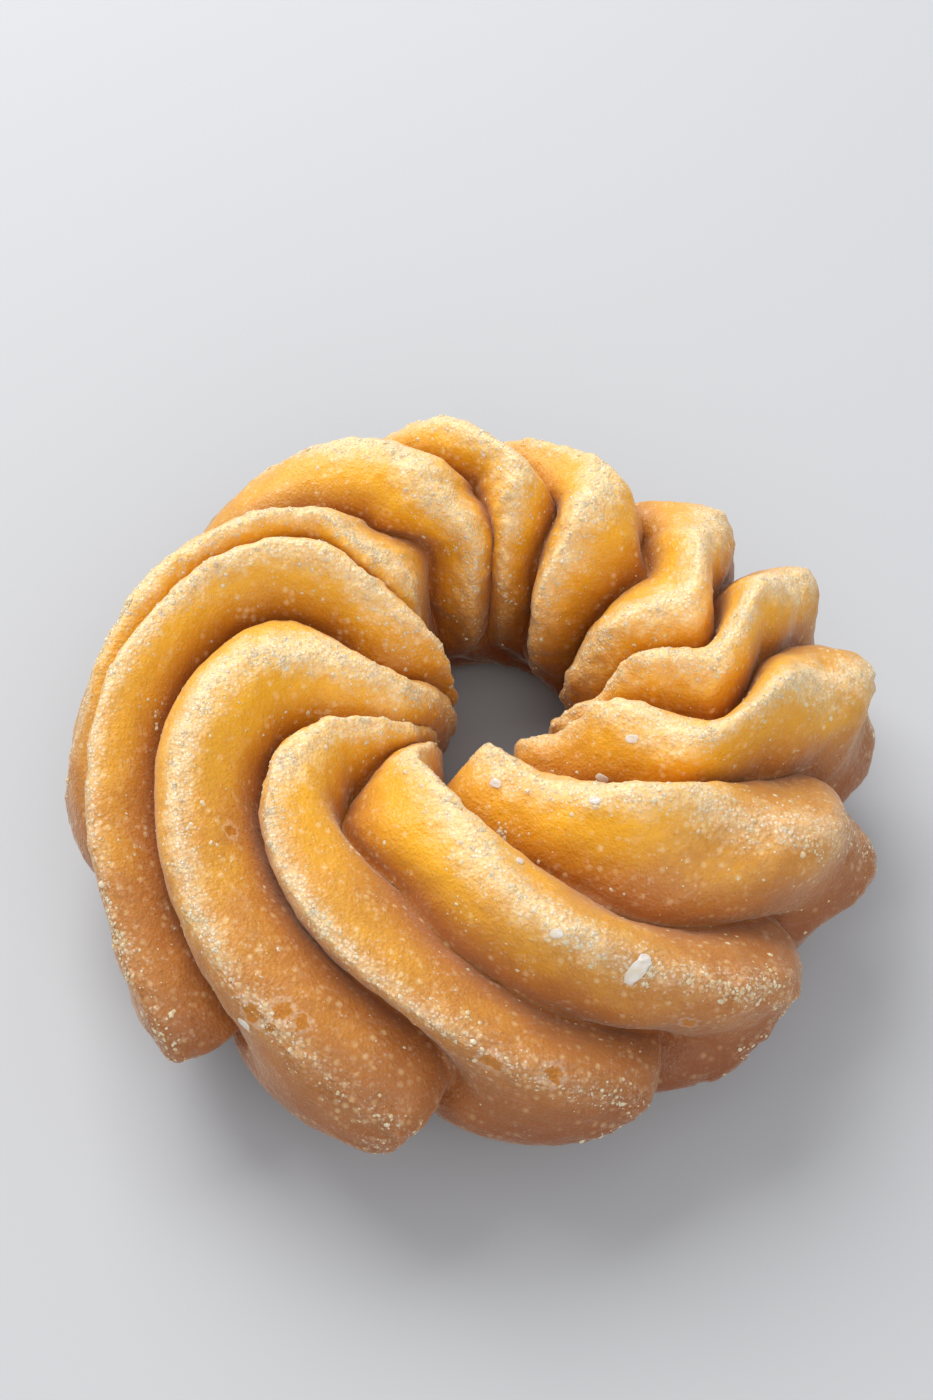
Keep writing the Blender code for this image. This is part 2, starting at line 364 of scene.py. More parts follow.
class Wiring:
    """Adds nodes to a material and joins them."""

    def __init__(self, name: str, colour: Colour) -> None:
        """Start a material.

        Args:
            name: The material's name.
            colour: Its plain colour, as the viewport shows it.
        """
        self.material = bpy.data.materials.new(name)
        self.material.use_nodes = True
        self.material.diffuse_color = colour
        self.tree = self.material.node_tree
        self.shader = self.tree.nodes["Principled BSDF"]
        self.shader.inputs["Base Color"].default_value = colour
        self.place = self.node("ShaderNodeTexCoord").outputs["Object"]

    def node(self, kind: str, values: dict[str | int, Source] | None = None, **settings: str) -> Node:
        """Add a node.

        Args:
            kind: The kind of node.
            values: What each of its sockets is fed with, by the socket's name or number.
            settings: The node's own settings.

        Returns:
            The new node.
        """
        node = self.tree.nodes.new(kind)
        for name, value in settings.items():
            setattr(node, name, value)
        self.feed(node, values or {})
        return node

    def feed(self, node: Node, values: dict[str | int, Source]) -> None:
        """Feed sockets of a node from other sockets, or set them to plain numbers."""
        for name, value in values.items():
            if isinstance(value, Socket):
                self.tree.links.new(value, node.inputs[name])
            else:
                node.inputs[name].default_value = value

    def measure(self, part: Part) -> Socket:
        """One of the skin's own measures."""
        return self.node("ShaderNodeAttribute", attribute_name=part.value).outputs["Fac"]

    def noise(self, size: float, detail: float = 2.0, roughness: float = 0.5) -> Socket:
        """Clouds of a given size in metres, from 0 to 1."""
        values = {"Vector": self.place, "Scale": 1.0 / size, "Detail": detail, "Roughness": roughness}
        return self.node("ShaderNodeTexNoise", values).outputs["Fac"]

    def crystals(self, size: float) -> tuple[Socket, Socket]:
        """Irregular crystals of a given size: the distance from a crystal's middle, and its own chance."""
        node = self.node("ShaderNodeTexVoronoi", {"Vector": self.place, "Scale": 1.0 / size})
        chance = self.node("ShaderNodeSeparateColor", {"Color": node.outputs["Color"]})
        return node.outputs["Distance"], chance.outputs["Red"]

    def nearest(self, spots: Rounds) -> Source:
        """The distance to the nearest of some spots, each measured by its own radius."""
        result: Source = FAR_OFF
        for place, radius in spots:
            gap = self.node("ShaderNodeVectorMath", {0: self.place, 1: place}, operation="DISTANCE")
            result = self.maths("MINIMUM", self.times(gap.outputs["Value"], 1.0 / radius), result)
        return result

    def along(self, name: str, across: float, along: float) -> Socket:
        """Clouds drawn out along the skin: their sizes in metres round the ring and round the section."""
        way = self.node("ShaderNodeAttribute", attribute_name=name).outputs["Vector"]
        sizes = (1.0 / across, 1.0 / across, 1.0 / along)
        scaled = self.node("ShaderNodeVectorMath", {0: way, 1: sizes}, operation="MULTIPLY")
        values = {"Vector": scaled.outputs["Vector"], "Scale": 1.0, "Detail": 1.0}
        return self.node("ShaderNodeTexNoise", values).outputs["Fac"]

    def total(self, *terms: tuple[Source, float]) -> Source:
        """Values added up, each times its own number."""
        result: Source = 0.0
        for value, times in terms:
            values = {0: value, 1: times, 2: result}
            result = self.node("ShaderNodeMath", values, operation="MULTIPLY_ADD").outputs[0]
        return result

    def times(self, first: Source, *others: Source) -> Source:
        """Values multiplied together."""
        for other in others:
            first = self.maths("MULTIPLY", first, other)
        return first

    def maths(self, operation: str, one: Source, other: Source) -> Socket:
        """Two values put together by a named operation."""
        return self.node("ShaderNodeMath", {0: one, 1: other}, operation=operation).outputs[0]

    def spread(
        self, value: Source, low: float, high: float, to_low: float = 0.0, to_high: float = 1.0
    ) -> Socket:
        """A value carried smoothly from one range to another."""
        values = {"Value": value, "From Min": low, "From Max": high, "To Min": to_low, "To Max": to_high}
        return self.node("ShaderNodeMapRange", values, interpolation_type="SMOOTHSTEP").outputs["Result"]

    def blend(self, share: Source, one: Source, other: Source) -> Socket:
        """A colour between two colours."""
        values = {"Factor": share, "A": one, "B": other}
        return self.node("ShaderNodeMix", values, data_type="RGBA").outputs["Result"]

    def bump(self, height: Source, distance: float, strength: float, over: Socket | None = None) -> Socket:
        """A relief of a given height in metres, on top of another if one is given."""
        values = {"Height": height, "Distance": distance, "Strength": strength}
        if over is not None:
            values["Normal"] = over
        return self.node("ShaderNodeBump", values).outputs["Normal"]


@dataclass(frozen=True)
class FriedDough:
    """Golden fried dough under a thin glaze that has dried white on its crests and gone brown at its feet,
    with painted shade in its creases, low in its hole and on its near, lower side, and a painted highlight on
    its upward faces.
    """

    cream: Colour = (0.92, 0.70, 0.38, 1.0)
    straw: Colour = (0.77, 0.42, 0.075, 1.0)
    gold: Colour = (0.84, 0.41, 0.008, 1.0)
    amber: Colour = (0.52, 0.18, 0.003, 1.0)
    # Brown towards the feet: partly browning, and partly painted shade on the near, lower side.
    rosy_and_shade: Colour = (0.47, 0.170, 0.042, 1.0)
    toast_and_shade: Colour = (0.23, 0.062, 0.012, 1.0)
    # Painted shade at the bottom of the creases.
    crease_shade: Colour = (0.38, 0.105, 0.003, 1.0)
    # Painted shade low in the hole.
    deep: Colour = (0.11, 0.012, 0.001, 1.0)
    sugar: Colour = (1.0, 0.90, 0.74, 1.0)
    pools: Rounds = ()
    cloud_size: float = 6.5 * MM
    patch_size: float = 1.9 * MM
    lump_size: float = 1.0 * MM
    lump_height: float = 0.18 * MM
    grain_size: float = 0.50 * MM
    grain_height: float = 0.17 * MM
    dust_size: float = 0.27 * MM
    speck_size: float = 0.46 * MM
    speck_crowd: float = 2.6 * MM
    streak_size: tuple[float, float] = (1.2 * MM, 0.45 * MM)
    blotch_size: float = 0.85 * MM
    blotch_crowd: float = 3.2 * MM
    pool_edge_size: float = 0.70 * MM

    def material(self) -> Material:
        """Build the finish."""
        pen = Wiring("fried_dough", self.gold)
        cloud = pen.noise(self.cloud_size)
        patch = pen.noise(self.patch_size, 3.0, 0.6)
        grain = pen.noise(self.grain_size, 2.0, 0.6)
        veil_and_highlight = self.veil_and_highlight(pen, cloud, patch)
        frost_and_highlight = self.frost_and_highlight(pen, cloud, patch)
        middle, chance = pen.crystals(self.speck_size)
        small, luck = pen.crystals(self.dust_size)
        speck = self.specks(pen, veil_and_highlight, frost_and_highlight, middle, chance)
        dust = pen.times(
            pen.spread(luck, 0.45, 1.0),
            pen.spread(small, 0.60, 0.10),
            pen.total((veil_and_highlight, 0.22), (frost_and_highlight, 0.20), (grain, 0.10)),
        )
        colour = self.fried(pen, cloud, patch)
        colour = pen.blend(pen.times(veil_and_highlight, pen.spread(grain, 0.34, 0.64, 0.60, 1.0)), colour, self.straw)
        colour = pen.blend(pen.times(frost_and_highlight, pen.spread(grain, 0.32, 0.66, 0.50, 0.90)), colour, self.cream)
        colour = self.browned_and_shaded(pen, colour, cloud, patch)
        colour = pen.blend(self.blotches(pen, veil_and_highlight, frost_and_highlight), colour, self.cream)
        colour = pen.blend(dust, colour, self.sugar)
        colour = pen.blend(speck, colour, self.sugar)
        colour = self.pooled(pen, colour)
        lumps = pen.total((patch, 0.5), (pen.noise(self.lump_size, 0.0), 0.6))
        domes = pen.times(pen.spread(middle, 0.75, 0.0), pen.total((veil_and_highlight, 0.5), (frost_and_highlight, 0.4), (grain, 0.8)))
        fine = pen.total((domes, 0.6), (pen.spread(small, 0.75, 0.0), 0.16), (grain, 0.40))
        pen.feed(pen.shader, {
            # Painted shade low in the hole.
            "Base Color": pen.blend(pen.measure(Part.HOLE), colour, self.deep),
            "Roughness": pen.spread(speck, 0.0, 0.6, 0.46, 0.30),
            "Normal": pen.bump(fine, self.grain_height, 1.0, pen.bump(lumps, self.lump_height, 0.6)),
            "Specular IOR Level": 0.35,
            "Subsurface Weight": 0.35,
            "Subsurface Radius": (1.0, 0.45, 0.10),
            "Subsurface Scale": 1.2 * MM,
            "Sheen Weight": 0.30,
            "Sheen Roughness": 0.45,
            "Sheen Tint": self.sugar,
            "Coat Weight": 0.08,
            "Coat Roughness": 0.25,
        })
        return pen.material

    @staticmethod
    def veil_and_highlight(pen: Wiring, cloud: Socket, patch: Socket) -> Socket:
        """How much thin dried glaze clouds the dough: most on the outer side, none in the creases, and a
        little more on upward faces as a painted highlight.
        """
        outer, crest, crease, up = map(pen.measure, (Part.OUTER, Part.CREST, Part.CREASE, Part.UPWARD))
        skin = pen.total((outer, 0.30), (crest, 0.60), (cloud, 0.45), (patch, 0.60))
        return pen.spread(pen.total((crease, -0.50), (up, 0.15), (skin, 1.0)), 0.60, 1.55, 0.0, 0.75)

    @staticmethod
    def frost_and_highlight(pen: Wiring, cloud: Socket, patch: Socket) -> Socket:
        """How much the glaze has dried white, with a painted highlight on upward faces: most along the
        crests, in patches, and little low down.
        """
        crest, up, sugared, height = map(pen.measure, (Part.CREST, Part.UPWARD, Part.SUGARED, Part.HEIGHT))
        place = pen.total((crest, 1.00), (up, 0.20), (cloud, 0.60), (patch, 0.90), (sugared, 0.30))
        return pen.times(pen.spread(place, 1.12, 2.00), pen.spread(height, 0.30, 0.90, 0.15, 1.0))

    def blotches(self, pen: Wiring, veil_and_highlight: Socket, frost_and_highlight: Socket) -> Socket:
        """Soft pale blobs of thicker glaze, crowded near the frost."""
        middle, chance = pen.crystals(self.blotch_size)
        crowd = pen.noise(self.blotch_crowd, 1.0)
        shown = pen.spread(pen.total((chance, 1.0), (frost_and_highlight, 0.50), (veil_and_highlight, 0.25), (crowd, 1.3)), 1.20, 1.75)
        high = pen.spread(pen.measure(Part.HEIGHT), 0.20, 0.85, 0.20, 0.50)
        return pen.times(shown, pen.spread(middle, 0.58, 0.08), high)

    def specks(self, pen: Wiring, veil_and_highlight: Socket, frost_and_highlight: Socket, middle: Socket, chance: Socket) -> Socket:
        """Pale crystals and short streaks across the ropes, close together where the glaze is frosted.

        Args:
            pen: The material's wiring.
            veil_and_highlight: How much thin glaze there is, with a little painted highlight on upward faces.
            frost_and_highlight: How white the glaze has dried, with the painted highlight on upward faces.
            middle: The distance from the middle of a crystal.
            chance: The crystal's own chance.

        Returns:
            How much sugar shows, from 0 to 1.
        """
        crowd = pen.noise(self.speck_crowd, 1.0)
        shown = pen.spread(pen.total((chance, 1.0), (frost_and_highlight, 0.50), (veil_and_highlight, 0.20), (crowd, 1.2)), 1.30, 1.80)
        crystal = pen.times(shown, pen.spread(middle, 0.58, 0.08))
        streak = pen.spread(pen.total((pen.along("way", *self.streak_size), 1.0), (veil_and_highlight, 0.05)), 0.60, 0.78)
        high = pen.spread(pen.measure(Part.HEIGHT), 0.25, 0.85, 0.10, 0.28)
        both = pen.maths("MAXIMUM", crystal, pen.times(streak, 0.25))
        return pen.times(both, pen.total((frost_and_highlight, 0.40), (high, 1.0)))

    def fried(self, pen: Wiring, cloud: Socket, patch: Socket) -> Socket:
        """Gold above and amber lower down; amber and then a dark colour at the bottom of the creases are
        painted shade.
        """
        up = pen.spread(pen.total((pen.measure(Part.HEIGHT), 1.0), (cloud, 0.35)), 0.55, 1.05)
        fold = pen.measure(Part.CREASE)
        crease = pen.spread(pen.total((fold, 1.0), (patch, 0.20)), 0.35, 0.95)
        bottom = pen.spread(pen.total((fold, 1.0), (patch, 0.12)), 0.76, 0.98)
        colour = pen.blend(up, self.amber, self.gold)
        # Amber and then a dark colour in the creases: painted shade.
        colour = pen.blend(pen.times(crease, 0.95), colour, self.amber)
        return pen.blend(pen.times(bottom, 0.8), colour, self.crease_shade)

    def browned_and_shaded(self, pen: Wiring, colour: Socket, cloud: Socket, patch: Socket) -> Socket:
        """Rosy and then brown towards the feet, most of all on the near side: partly browning, and partly
        painted shade where the lower, near faces get less light.
        """
        height, front, outer = map(pen.measure, (Part.HEIGHT, Part.FRONT, Part.OUTER))
        rosy_and_shade = pen.spread(pen.total((height, 1.0), (cloud, 0.25), (patch, 0.25)), 1.30, 0.85)
        colour = pen.blend(pen.times(rosy_and_shade, front, 0.80), colour, self.rosy_and_shade)
        low = pen.spread(pen.total((height, 1.0), (cloud, 0.25), (patch, 0.15), (front, 0.08)), 1.08, 0.55)
        share = pen.total((front, 0.15), (outer, 0.65), (pen.spread(height, 0.5, 0.2), 0.20))
        return pen.blend(pen.times(low, share), colour, self.toast_and_shade)

    def pooled(self, pen: Wiring, colour: Socket) -> Socket:
        """Open bubbles: a pool of clear amber glaze inside a pale rim."""
        uneven = pen.noise(self.pool_edge_size, 1.0)
        away = pen.total((pen.nearest(self.pools), 1.0), (uneven, 2.0))
        rim = pen.times(pen.spread(away, 2.9, 2.3), pen.spread(away, 1.8, 2.2), 0.16)
        colour = pen.blend(rim, colour, self.sugar)
        return pen.blend(pen.times(pen.spread(away, 2.2, 1.8), 0.85), colour, self.amber)


@dataclass(frozen=True)
class DriedSugar:
    """White, slightly translucent dried sugar glaze."""

    name: str
    white: Colour = (0.96, 0.80, 0.54, 1.0)
    thin: Colour = (0.92, 0.68, 0.36, 1.0)
    cloud_size: float = 0.9 * MM
    grain_size: float = 0.14 * MM
    grain_height: float = 0.05 * MM

    def material(self) -> Material:
        """Build the finish."""
        pen = Wiring(self.name, self.white)
        cloud = pen.noise(self.cloud_size)
        pen.feed(pen.shader, {
            "Base Color": pen.blend(pen.spread(cloud, 0.40, 0.62), self.white, self.thin),
            "Roughness": pen.spread(cloud, 0.3, 0.7, 0.35, 0.50),
            "Normal": pen.bump(pen.noise(self.grain_size), self.grain_height, 0.6),
            "Subsurface Weight": 0.30,
            "Subsurface Radius": (1.0, 0.8, 0.6),
            "Subsurface Scale": 0.5 * MM,
            "Transmission Weight": 0.25,
            "Coat Weight": 0.15,
            "Coat Roughness": 0.20,
        })
        return pen.material


@dataclass(frozen=True)
class PaleFloor:
    """A plain pale studio floor."""

    colour: Colour = (0.50, 0.51, 0.53, 1.0)
    other: Colour = (0.53, 0.54, 0.55, 1.0)
    cloud_size: float = 0.4

    def material(self) -> Material:
        """Build the finish."""
        pen = Wiring("pale_floor", self.colour)
        tone = pen.blend(pen.noise(self.cloud_size), self.colour, self.other)
        pen.feed(pen.shader, {"Base Color": tone, "Roughness": 0.9, "Specular IOR Level": 0.1})
        return pen.material


def deselect_all() -> None:
    """Leave edit mode and select nothing."""
    if bpy.context.mode != "OBJECT":
        bpy.ops.object.mode_set(mode="OBJECT")
    bpy.ops.object.select_all(action="DESELECT")


def newest(name: str) -> Object:
    """The object that was just made, under its own name."""
    made = bpy.context.active_object
    made.name = name
    return made


@dataclass(frozen=True)
class Spot:
    """A round spot of the skin: where it is, its radius in millimetres and how strong or deep it is."""

    line: float
    angle: float
    radius: float
    strength: float


@dataclass(frozen=True)
class Flake:
    """A dried flake of glaze: where it lies, its length and width in millimetres and its turn in degrees."""

    line: float
    angle: float
    length: float
    width: float
    turn: float


# Open bubbles in the glaze near the feet of the front ridges.
PITS = (
    Spot(2.87, 37.2, 0.88, 0.27),
    Spot(2.83, 36.2, 0.68, 0.24),
    Spot(3.04, 33.6, 0.98, 0.27),
    Spot(3.00, 31.9, 0.59, 0.18),
    Spot(2.13, 33.4, 0.78, 0.24),
    Spot(2.12, 32.2, 0.59, 0.21),
    Spot(1.92, 29.0, 0.88, 0.21),
    Spot(1.28, 26.2, 0.68, 0.18),
    Spot(2.69, 69.6, 0.59, 0.09),
)
# Where the glaze has dried thickest.
SUGARED = (
    Spot(2.89, 104.2, 2.4, 1.0),
    Spot(3.56, 64.8, 3.0, 0.8),
    Spot(1.62, 89.5, 3.0, 0.8),
    Spot(1.91, 48.5, 2.2, 0.9),
    Spot(1.79, 47.0, 2.0, 0.9),
    Spot(0.18, 128.2, 1.6, 0.9),
    Spot(0.10, 101.3, 1.6, 1.0),
    Spot(0.42, 114.0, 2.2, 1.2),
    Spot(11.33, 67.7, 1.4, 0.9),
    Spot(11.23, 115.9, 1.6, 0.9),
    Spot(11.44, 124.1, 1.6, 1.0),
    Spot(0.77, 93.6, 2.0, 1.2),
    Spot(1.06, 67.0, 1.6, 0.8),
    Spot(0.06, 52.6, 2.2, 0.8),
    Spot(3.20, 28.6, 1.6, 1.2),
    Spot(2.93, 34.0, 2.6, 0.8),
)

# Dried flakes of glaze.
FLAKES = (
    Flake(1.02, 51.8, 4.0, 1.5, 40.0),
    Flake(0.18, 126.0, 1.3, 1.0, 10.0),
    Flake(0.12, 101.3, 1.2, 0.8, 70.0),
    Flake(1.06, 67.0, 1.3, 0.9, 30.0),
    Flake(3.20, 28.6, 1.5, 1.1, 0.0),
    Flake(0.77, 93.6, 1.1, 0.8, 120.0),
    Flake(11.23, 115.9, 1.5, 0.9, 45.0),
    Flake(11.44, 124.1, 1.6, 0.9, 5.0),
)


@dataclass
class FriedRing:
    """The ring of fried dough, as one closed skin."""

    twist: Twist
    columns_per_ridge: int = 40
    skin_rows: int = 168
    base_rows: int = 32
    first_angle: float = -60.0
    base_angle: float = 205.0
    weld: float = 0.002 * MM
    lumps: tuple[tuple[float, float], ...] = ((9.0, 0.35), (4.0, 0.24), (1.9, 0.24), (1.15, 0.26))
    fine_lump: float = 2.0
    ring_radius: float = 30.0
    tube_radius: float = 15.0
    frosted_to: float = 6.0 * MM
    grounded_by: float = 2.0 * MM
    full_strength: float = 0.3
    pits: tuple[Spot, ...] = PITS
    sugared: tuple[Spot, ...] = SUGARED

    def __post_init__(self) -> None:
        """Nothing has been moved onto the frame yet."""
        self.shift = np.zeros(3)

    def section_angle(self, row: Array) -> Array:
        """The section angle of a row: even over the seen side, wider under the base."""
        seen = self.first_angle + (self.base_angle - self.first_angle) * row / self.skin_rows
        rest = (row - self.skin_rows) / self.base_rows
        under = self.base_angle + (self.first_angle + TURN - self.base_angle) * rest
        return np.where(row <= self.skin_rows, seen, under)

    def build(self) -> Object:
        """Wrap a grid round the ring and the tube, join its edges and give it the dough's lumps."""
        columns = len(self.twist.ridges) * self.columns_per_ridge
        rows = self.skin_rows + self.base_rows
        deselect_all()
        bpy.ops.mesh.primitive_grid_add(x_subdivisions=columns, y_subdivisions=rows, size=1.0)
        ring = newest("fried_ring")
        flat = self.read(ring.data)
        column = np.round((flat[:, 0] + 0.5) * columns)
        row = np.round((flat[:, 1] + 0.5) * rows)
        line, angle = column / self.columns_per_ridge, self.section_angle(row)
        points = self.on_frame(self.twist.skin(line, angle))
        self.note_measures(ring.data, line, angle, points)
        self.write(ring.data, points)
        bpy.ops.object.mode_set(mode="EDIT")
        bpy.ops.mesh.select_all(action="SELECT")
        bpy.ops.mesh.remove_doubles(threshold=self.weld)
        bpy.ops.mesh.normals_make_consistent(inside=False)
        bpy.ops.object.mode_set(mode="OBJECT")
        self.make_lumpy(ring.data)
        bpy.ops.object.shade_smooth()
        ring.data.materials.append(FriedDough(pools=self.pools(ring)).material())
        return ring

    def pools(self, ring: Object) -> Rounds:
        """The middle and the radius of each open bubble on the finished skin."""
        return tuple(
            (ring.closest_point_on_mesh(Vector(self.point_at(spot.line, spot.angle)))[1], spot.radius * MM)
            for spot in self.pits
        )

    @staticmethod
    def read(mesh: Mesh, field: str = "co") -> Array:
        """A mesh's vertex places or normals, one row each."""
        values = np.empty(len(mesh.vertices) * 3)
        mesh.vertices.foreach_get(field, values)
        return values.reshape(-1, 3)

    @staticmethod
    def write(mesh: Mesh, points: Array) -> None:
        """Move a mesh's vertices."""
        mesh.vertices.foreach_set("co", points.ravel())
        mesh.update()

    def on_frame(self, points: Array) -> Array:
        """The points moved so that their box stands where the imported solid's does."""
        low, high = (np.array(corner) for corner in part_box(NODE))
        middle, own = (low + high) / 2, (points.min(0) + points.max(0)) / 2
        self.shift = middle - own
        self.shift[2] = low[2] - points[:, 2].min()
        return points + self.shift

    def note_measures(self, mesh: Mesh, line: Array, angle: Array, points: Array) -> None:
        """Keep on the skin what its colours depend on.

        Args:
            mesh: The ring's mesh.
            line: Each vertex's line of the skin, counted in ridges.
            angle: Each vertex's section angle.
            points: Each vertex's point.
        """
        share = np.radians(angle)
        height = points[:, 2] / points[:, 2].max()
        inward = ease((-np.cos(share) - 0.45) / 0.5)
        outward = -points[:, 1] / np.hypot(points[:, 0], points[:, 1])
        across = self.twist.across(line)
        from_crest = np.linalg.norm(points - self.shift - self.twist.skin(np.round(line), angle), axis=1)
        values = {
            Part.CREST: np.clip(np.minimum(1.0 - across**1.2, 1.0 - from_crest / self.frosted_to), 0.0, 1.0),
            Part.CREASE: across**2,
            Part.HEIGHT: height,
            # Low in the hole, where the colour is darkened into painted shade.
            Part.HOLE: inward * ease((0.62 - height) / 0.5),
            # The near, lower side, where browning and painted shade darken the colour.
            Part.FRONT: ease((outward + 0.35) / 0.8) * ease((np.cos(share) + 0.1) / 0.4),
            Part.OUTER: ease((105.0 - angle) / 55.0),
            Part.PIT: self.near(self.pits, points, edge=0.35),
            Part.SUGARED: self.near(self.sugared, points, edge=0.0),
        }
        for part, value in values.items():
            self.note(mesh, part, value)
        turn = line * (2 * np.pi / len(self.twist.ridges))
        round_by = self.ring_radius
        way = np.stack([np.cos(turn) * round_by, np.sin(turn) * round_by, share * self.tube_radius], -1) * MM
        layer = mesh.attributes.new("way", "FLOAT_VECTOR", "POINT")
        layer.data.foreach_set("vector", way.astype(np.float32).ravel())

    @staticmethod
    def note(mesh: Mesh, part: Part, value: Array) -> None:
        """Keep one measure on the skin."""
        layer = mesh.attributes.new(part.value, "FLOAT", "POINT")
        layer.data.foreach_set("value", value.astype(np.float32))

    @staticmethod
    def noted(mesh: Mesh, part: Part) -> Array:
        """One measure, read back from the skin."""
        values = np.empty(len(mesh.vertices), np.float32)
        mesh.attributes[part.value].data.foreach_get("value", values)
        return values

    def near(self, spots: tuple[Spot, ...], points: Array, edge: float) -> Array:
        """How near each point is to the spots, 0 to 1: it is 1 up to this share of the radius."""
        found = np.zeros(len(points))
        for spot in spots:
            far = self.away(spot, points)
            share = min(1.0, spot.strength / self.full_strength)
            found = np.maximum(found, ease((1 - far) / (1 - edge)) * share)
        return found

    def away(self, spot: Spot, points: Array) -> Array:
        """How far each point is from a spot, in the spot's radii."""
        return np.linalg.norm(points - self.point_at(spot.line, spot.angle), axis=1) / (spot.radius * MM)

    def point_at(self, line: float, angle: float) -> Array:
        """The point of the plain skin at this line and section angle."""
        return self.twist.skin(np.array([line]), np.array([angle]))[0] + self.shift

    def make_lumpy(self, mesh: Mesh) -> None:
        """Push the skin in and out by a few sizes of lump, and keep its feet on the ground."""
        points, normals = self.read(mesh), self.read(mesh, "normal")
        # Faces that point up get a painted highlight in the glaze's colours.
        self.note(mesh, Part.UPWARD, ease((normals[:, 2] - 0.1) / 0.9))
        rough = 0.45 + 0.75 * self.noted(mesh, Part.CREST)
        push = np.zeros(len(points))
        for size, height in self.lumps:
            shift = Vector((size, 2 * size, 3 * size))
            lump = np.array([height * MM * noise.noise(Vector(p) / (size * MM) + shift) for p in points])
            push += lump * (rough if size < self.fine_lump else 1.0)
        for spot in self.pits:
            push -= spot.strength * MM * ease(1.3 - self.away(spot, points))
        off_ground = ease(points[:, 2] / self.grounded_by)
        moved = points + normals * (push * off_ground)[:, None]
        moved[:, 2] = np.maximum(moved[:, 2], points[:, 2].min())
        self.write(mesh, moved)


@dataclass(frozen=True)
class Bed:
    """The triangles of a finished ring, as places for sugar to lie on."""

    corners: Array
    normals: Array
    areas: Array
    measures: dict[Part, Array]

    @classmethod
    def of(cls, ring: Object) -> "Bed":
        """Read the ring's triangles with the mean of each measure over them."""
        mesh = ring.data
        mesh.calc_loop_triangles()
        count = len(mesh.loop_triangles)
        index = np.empty(count * 3, np.int32)
        mesh.loop_triangles.foreach_get("vertices", index)
        index = index.reshape(-1, 3)
        corners = FriedRing.read(mesh)[index]
        cross = np.cross(corners[:, 1] - corners[:, 0], corners[:, 2] - corners[:, 0])
        length = np.linalg.norm(cross, axis=1)
        measures = {part: FriedRing.noted(mesh, part)[index].mean(1) for part in Part}
        return cls(corners, cross / np.maximum(length, 1e-12)[:, None], length / 2, measures)

    def choose(self, weight: Array, count: int, dice: np.random.Generator) -> tuple[Array, Array]:
        """Pick places at random, more of them where the weight is high.

        Args:
            weight: The weight of each triangle for its area.
            count: How many places to pick.
            dice: The random numbers.

        Returns:
            The places and the skin's normals there, one row each.
        """
        chance = weight * self.areas
        chosen = dice.choice(len(chance), count, p=chance / chance.sum())
        a, b = dice.random((2, count, 1))
        over = a + b > 1
        a, b = np.where(over, 1 - a, a), np.where(over, 1 - b, b)
        corner = self.corners[chosen]
        places = corner[:, 0] + a * (corner[:, 1] - corner[:, 0]) + b * (corner[:, 2] - corner[:, 0])
        return places, self.normals[chosen]


class Strewn:
    """One small shape, copied many times over the skin and joined into one piece."""

    @staticmethod
    def seed_shape(subdivisions: int, roundness: float = 1.0) -> tuple[Array, Array]:
        """The small shape's points and faces: a ball of radius 1, nearer a box where it is less round."""
        deselect_all()
        bpy.ops.mesh.primitive_ico_sphere_add(subdivisions=subdivisions, radius=1.0)
        ball = bpy.context.active_object
        points = FriedRing.read(ball.data)
        faces = np.array([list(face.vertices) for face in ball.data.polygons])
        bpy.data.meshes.remove(ball.data)
        return np.sign(points) * np.abs(points) ** roundness, faces

    @staticmethod
    def axes(normals: Array, turns: Array) -> Array:
        """Three axes for each copy: two along the skin, turned by its own turn, and the normal."""
        aside = np.where(np.abs(normals[:, 2:]) < 0.9, [[0.0, 0.0, 1.0]], [[1.0, 0.0, 0.0]])
        first = np.cross(aside, normals)
        first /= np.linalg.norm(first, axis=1)[:, None]
        second = np.cross(normals, first)
        turned = first * np.cos(turns)[:, None] + second * np.sin(turns)[:, None]
        return np.stack([turned, np.cross(normals, turned), normals], 1)

    @classmethod
    def piece(
        cls, name: str, shape: tuple[Array, Array], places: Array, axes: Array,
        sizes: Array, rough: float, dice: np.random.Generator,
    ) -> Object:
        """Join copies of a small shape into one object.

        Args:
            name: The object's name.
            shape: The small shape's points and faces.
            places: The middle of each copy.
            axes: The three axes of each copy.
            sizes: The half lengths of each copy along its axes.
            rough: How uneven each copy is, as a share of its size.
            dice: The random numbers.

        Returns:
            The joined object.
        """
        points, faces = shape
        uneven = 1 + rough * (dice.random((len(places), len(points), 1)) * 2 - 1)
        local = points[None] * uneven * sizes[:, None, :]
        placed = np.einsum("cpk,ckx->cpx", local, axes) + places[:, None, :]
        placed[:, :, 2] = np.maximum(placed[:, :, 2], CAD_BOX[0].z + CLEARANCE)
        joined = faces[None] + (np.arange(len(places)) * len(points))[:, None, None]
        mesh = bpy.data.meshes.new(name)
        mesh.from_pydata(placed.reshape(-1, 3), [], joined.reshape(-1, 3).tolist())
        mesh.validate()
        piece = bpy.data.objects.new(name, mesh)
        bpy.context.scene.collection.objects.link(piece)
        return piece


